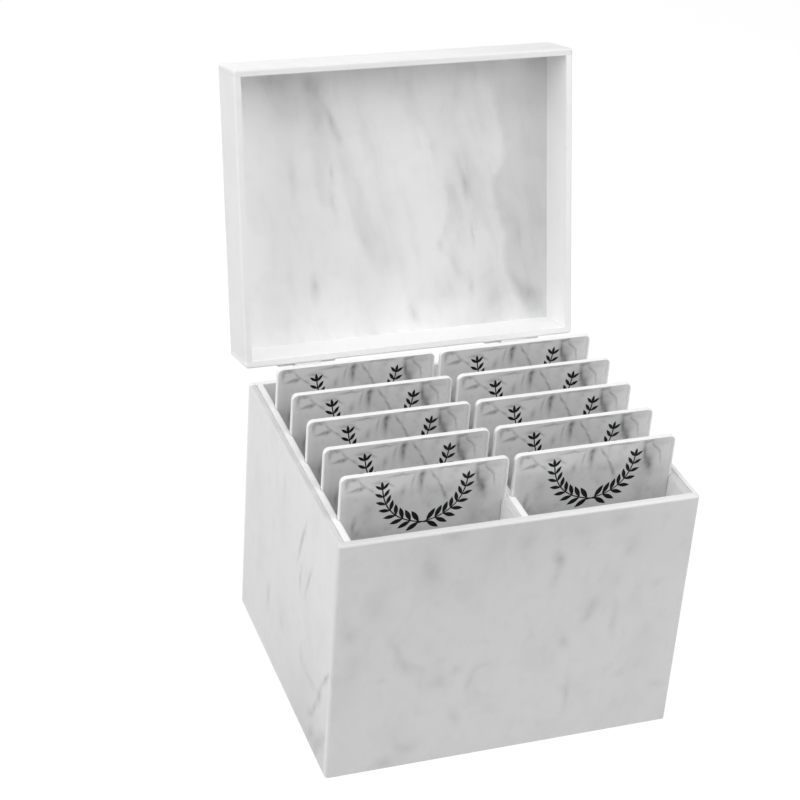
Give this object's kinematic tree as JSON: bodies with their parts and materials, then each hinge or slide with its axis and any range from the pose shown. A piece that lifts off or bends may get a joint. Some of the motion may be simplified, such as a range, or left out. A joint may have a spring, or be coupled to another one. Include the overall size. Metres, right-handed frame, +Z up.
{
  "type": "false eyelash case",
  "caption": "Hinged marble-look acrylic case: slotted racks hold upright lash tiles under a shallow box lid that stands open.",
  "frame": {"origin": "middle of the base's underside", "axes": "+X to the case's right seen from the front, +Y from front to back, +Z up; the lid stands open, as in the picture"},
  "size_m": [0.2, 0.2466, 0.3162],
  "materials": {
    "marble_sheet": "white marble print under a gloss surface",
    "rack_sheet": "polished white sheet",
    "tile_sheet": "grey marble print on a white sheet",
    "hinge_metal": "white lacquer",
    "screw_metal": "bright plated"
  },
  "bodies": {
    "base": {"base_floor": "marble_sheet", "base_front": "marble_sheet", "base_back": "marble_sheet", "base_left": "marble_sheet", "base_right": "marble_sheet", "rack_left": "rack_sheet", "rack_right": "rack_sheet", "rack_mid_left": "rack_sheet", "rack_mid_right": "rack_sheet", "hinge_base_left": "hinge_metal", "hinge_base_right": "hinge_metal", "hinge_pins": "hinge_metal", "base_screws": "screw_metal"},
    "lid": {"lid_top": "marble_sheet", "lid_front": "marble_sheet", "lid_back": "marble_sheet", "lid_left": "marble_sheet", "lid_right": "marble_sheet", "hinge_lid_left": "hinge_metal", "hinge_lid_right": "hinge_metal", "lid_screws": "screw_metal"},
    "tile_l1": {"tile_l1": "tile_sheet"},
    "tile_l2": {"tile_l2": "tile_sheet"},
    "tile_l3": {"tile_l3": "tile_sheet"},
    "tile_l4": {"tile_l4": "tile_sheet"},
    "tile_l5": {"tile_l5": "tile_sheet"},
    "tile_r1": {"tile_r1": "tile_sheet"},
    "tile_r2": {"tile_r2": "tile_sheet"},
    "tile_r3": {"tile_r3": "tile_sheet"},
    "tile_r4": {"tile_r4": "tile_sheet"},
    "tile_r5": {"tile_r5": "tile_sheet"}
  },
  "joints": [
    {"name": "lid_hinge", "type": "hinge", "parent": "base", "child": "lid", "pos_m": [0, 0.0888, 0.14915], "axis": [-1, 0, 0], "range_deg": [-104.4, 0]},
    {"name": "tile_l1_lift", "type": "slide", "parent": "base", "child": "tile_l1", "axis": [0, 0, 1], "range_m": [0, 0.146]},
    {"name": "tile_l2_lift", "type": "slide", "parent": "base", "child": "tile_l2", "axis": [0, 0, 1], "range_m": [0, 0.146]},
    {"name": "tile_l3_lift", "type": "slide", "parent": "base", "child": "tile_l3", "axis": [0, 0, 1], "range_m": [0, 0.146]},
    {"name": "tile_l4_lift", "type": "slide", "parent": "base", "child": "tile_l4", "axis": [0, 0, 1], "range_m": [0, 0.146]},
    {"name": "tile_l5_lift", "type": "slide", "parent": "base", "child": "tile_l5", "axis": [0, 0, 1], "range_m": [0, 0.146]},
    {"name": "tile_r1_lift", "type": "slide", "parent": "base", "child": "tile_r1", "axis": [0, 0, 1], "range_m": [0, 0.146]},
    {"name": "tile_r2_lift", "type": "slide", "parent": "base", "child": "tile_r2", "axis": [0, 0, 1], "range_m": [0, 0.146]},
    {"name": "tile_r3_lift", "type": "slide", "parent": "base", "child": "tile_r3", "axis": [0, 0, 1], "range_m": [0, 0.146]},
    {"name": "tile_r4_lift", "type": "slide", "parent": "base", "child": "tile_r4", "axis": [0, 0, 1], "range_m": [0, 0.146]},
    {"name": "tile_r5_lift", "type": "slide", "parent": "base", "child": "tile_r5", "axis": [0, 0, 1], "range_m": [0, 0.146]}
  ]
}
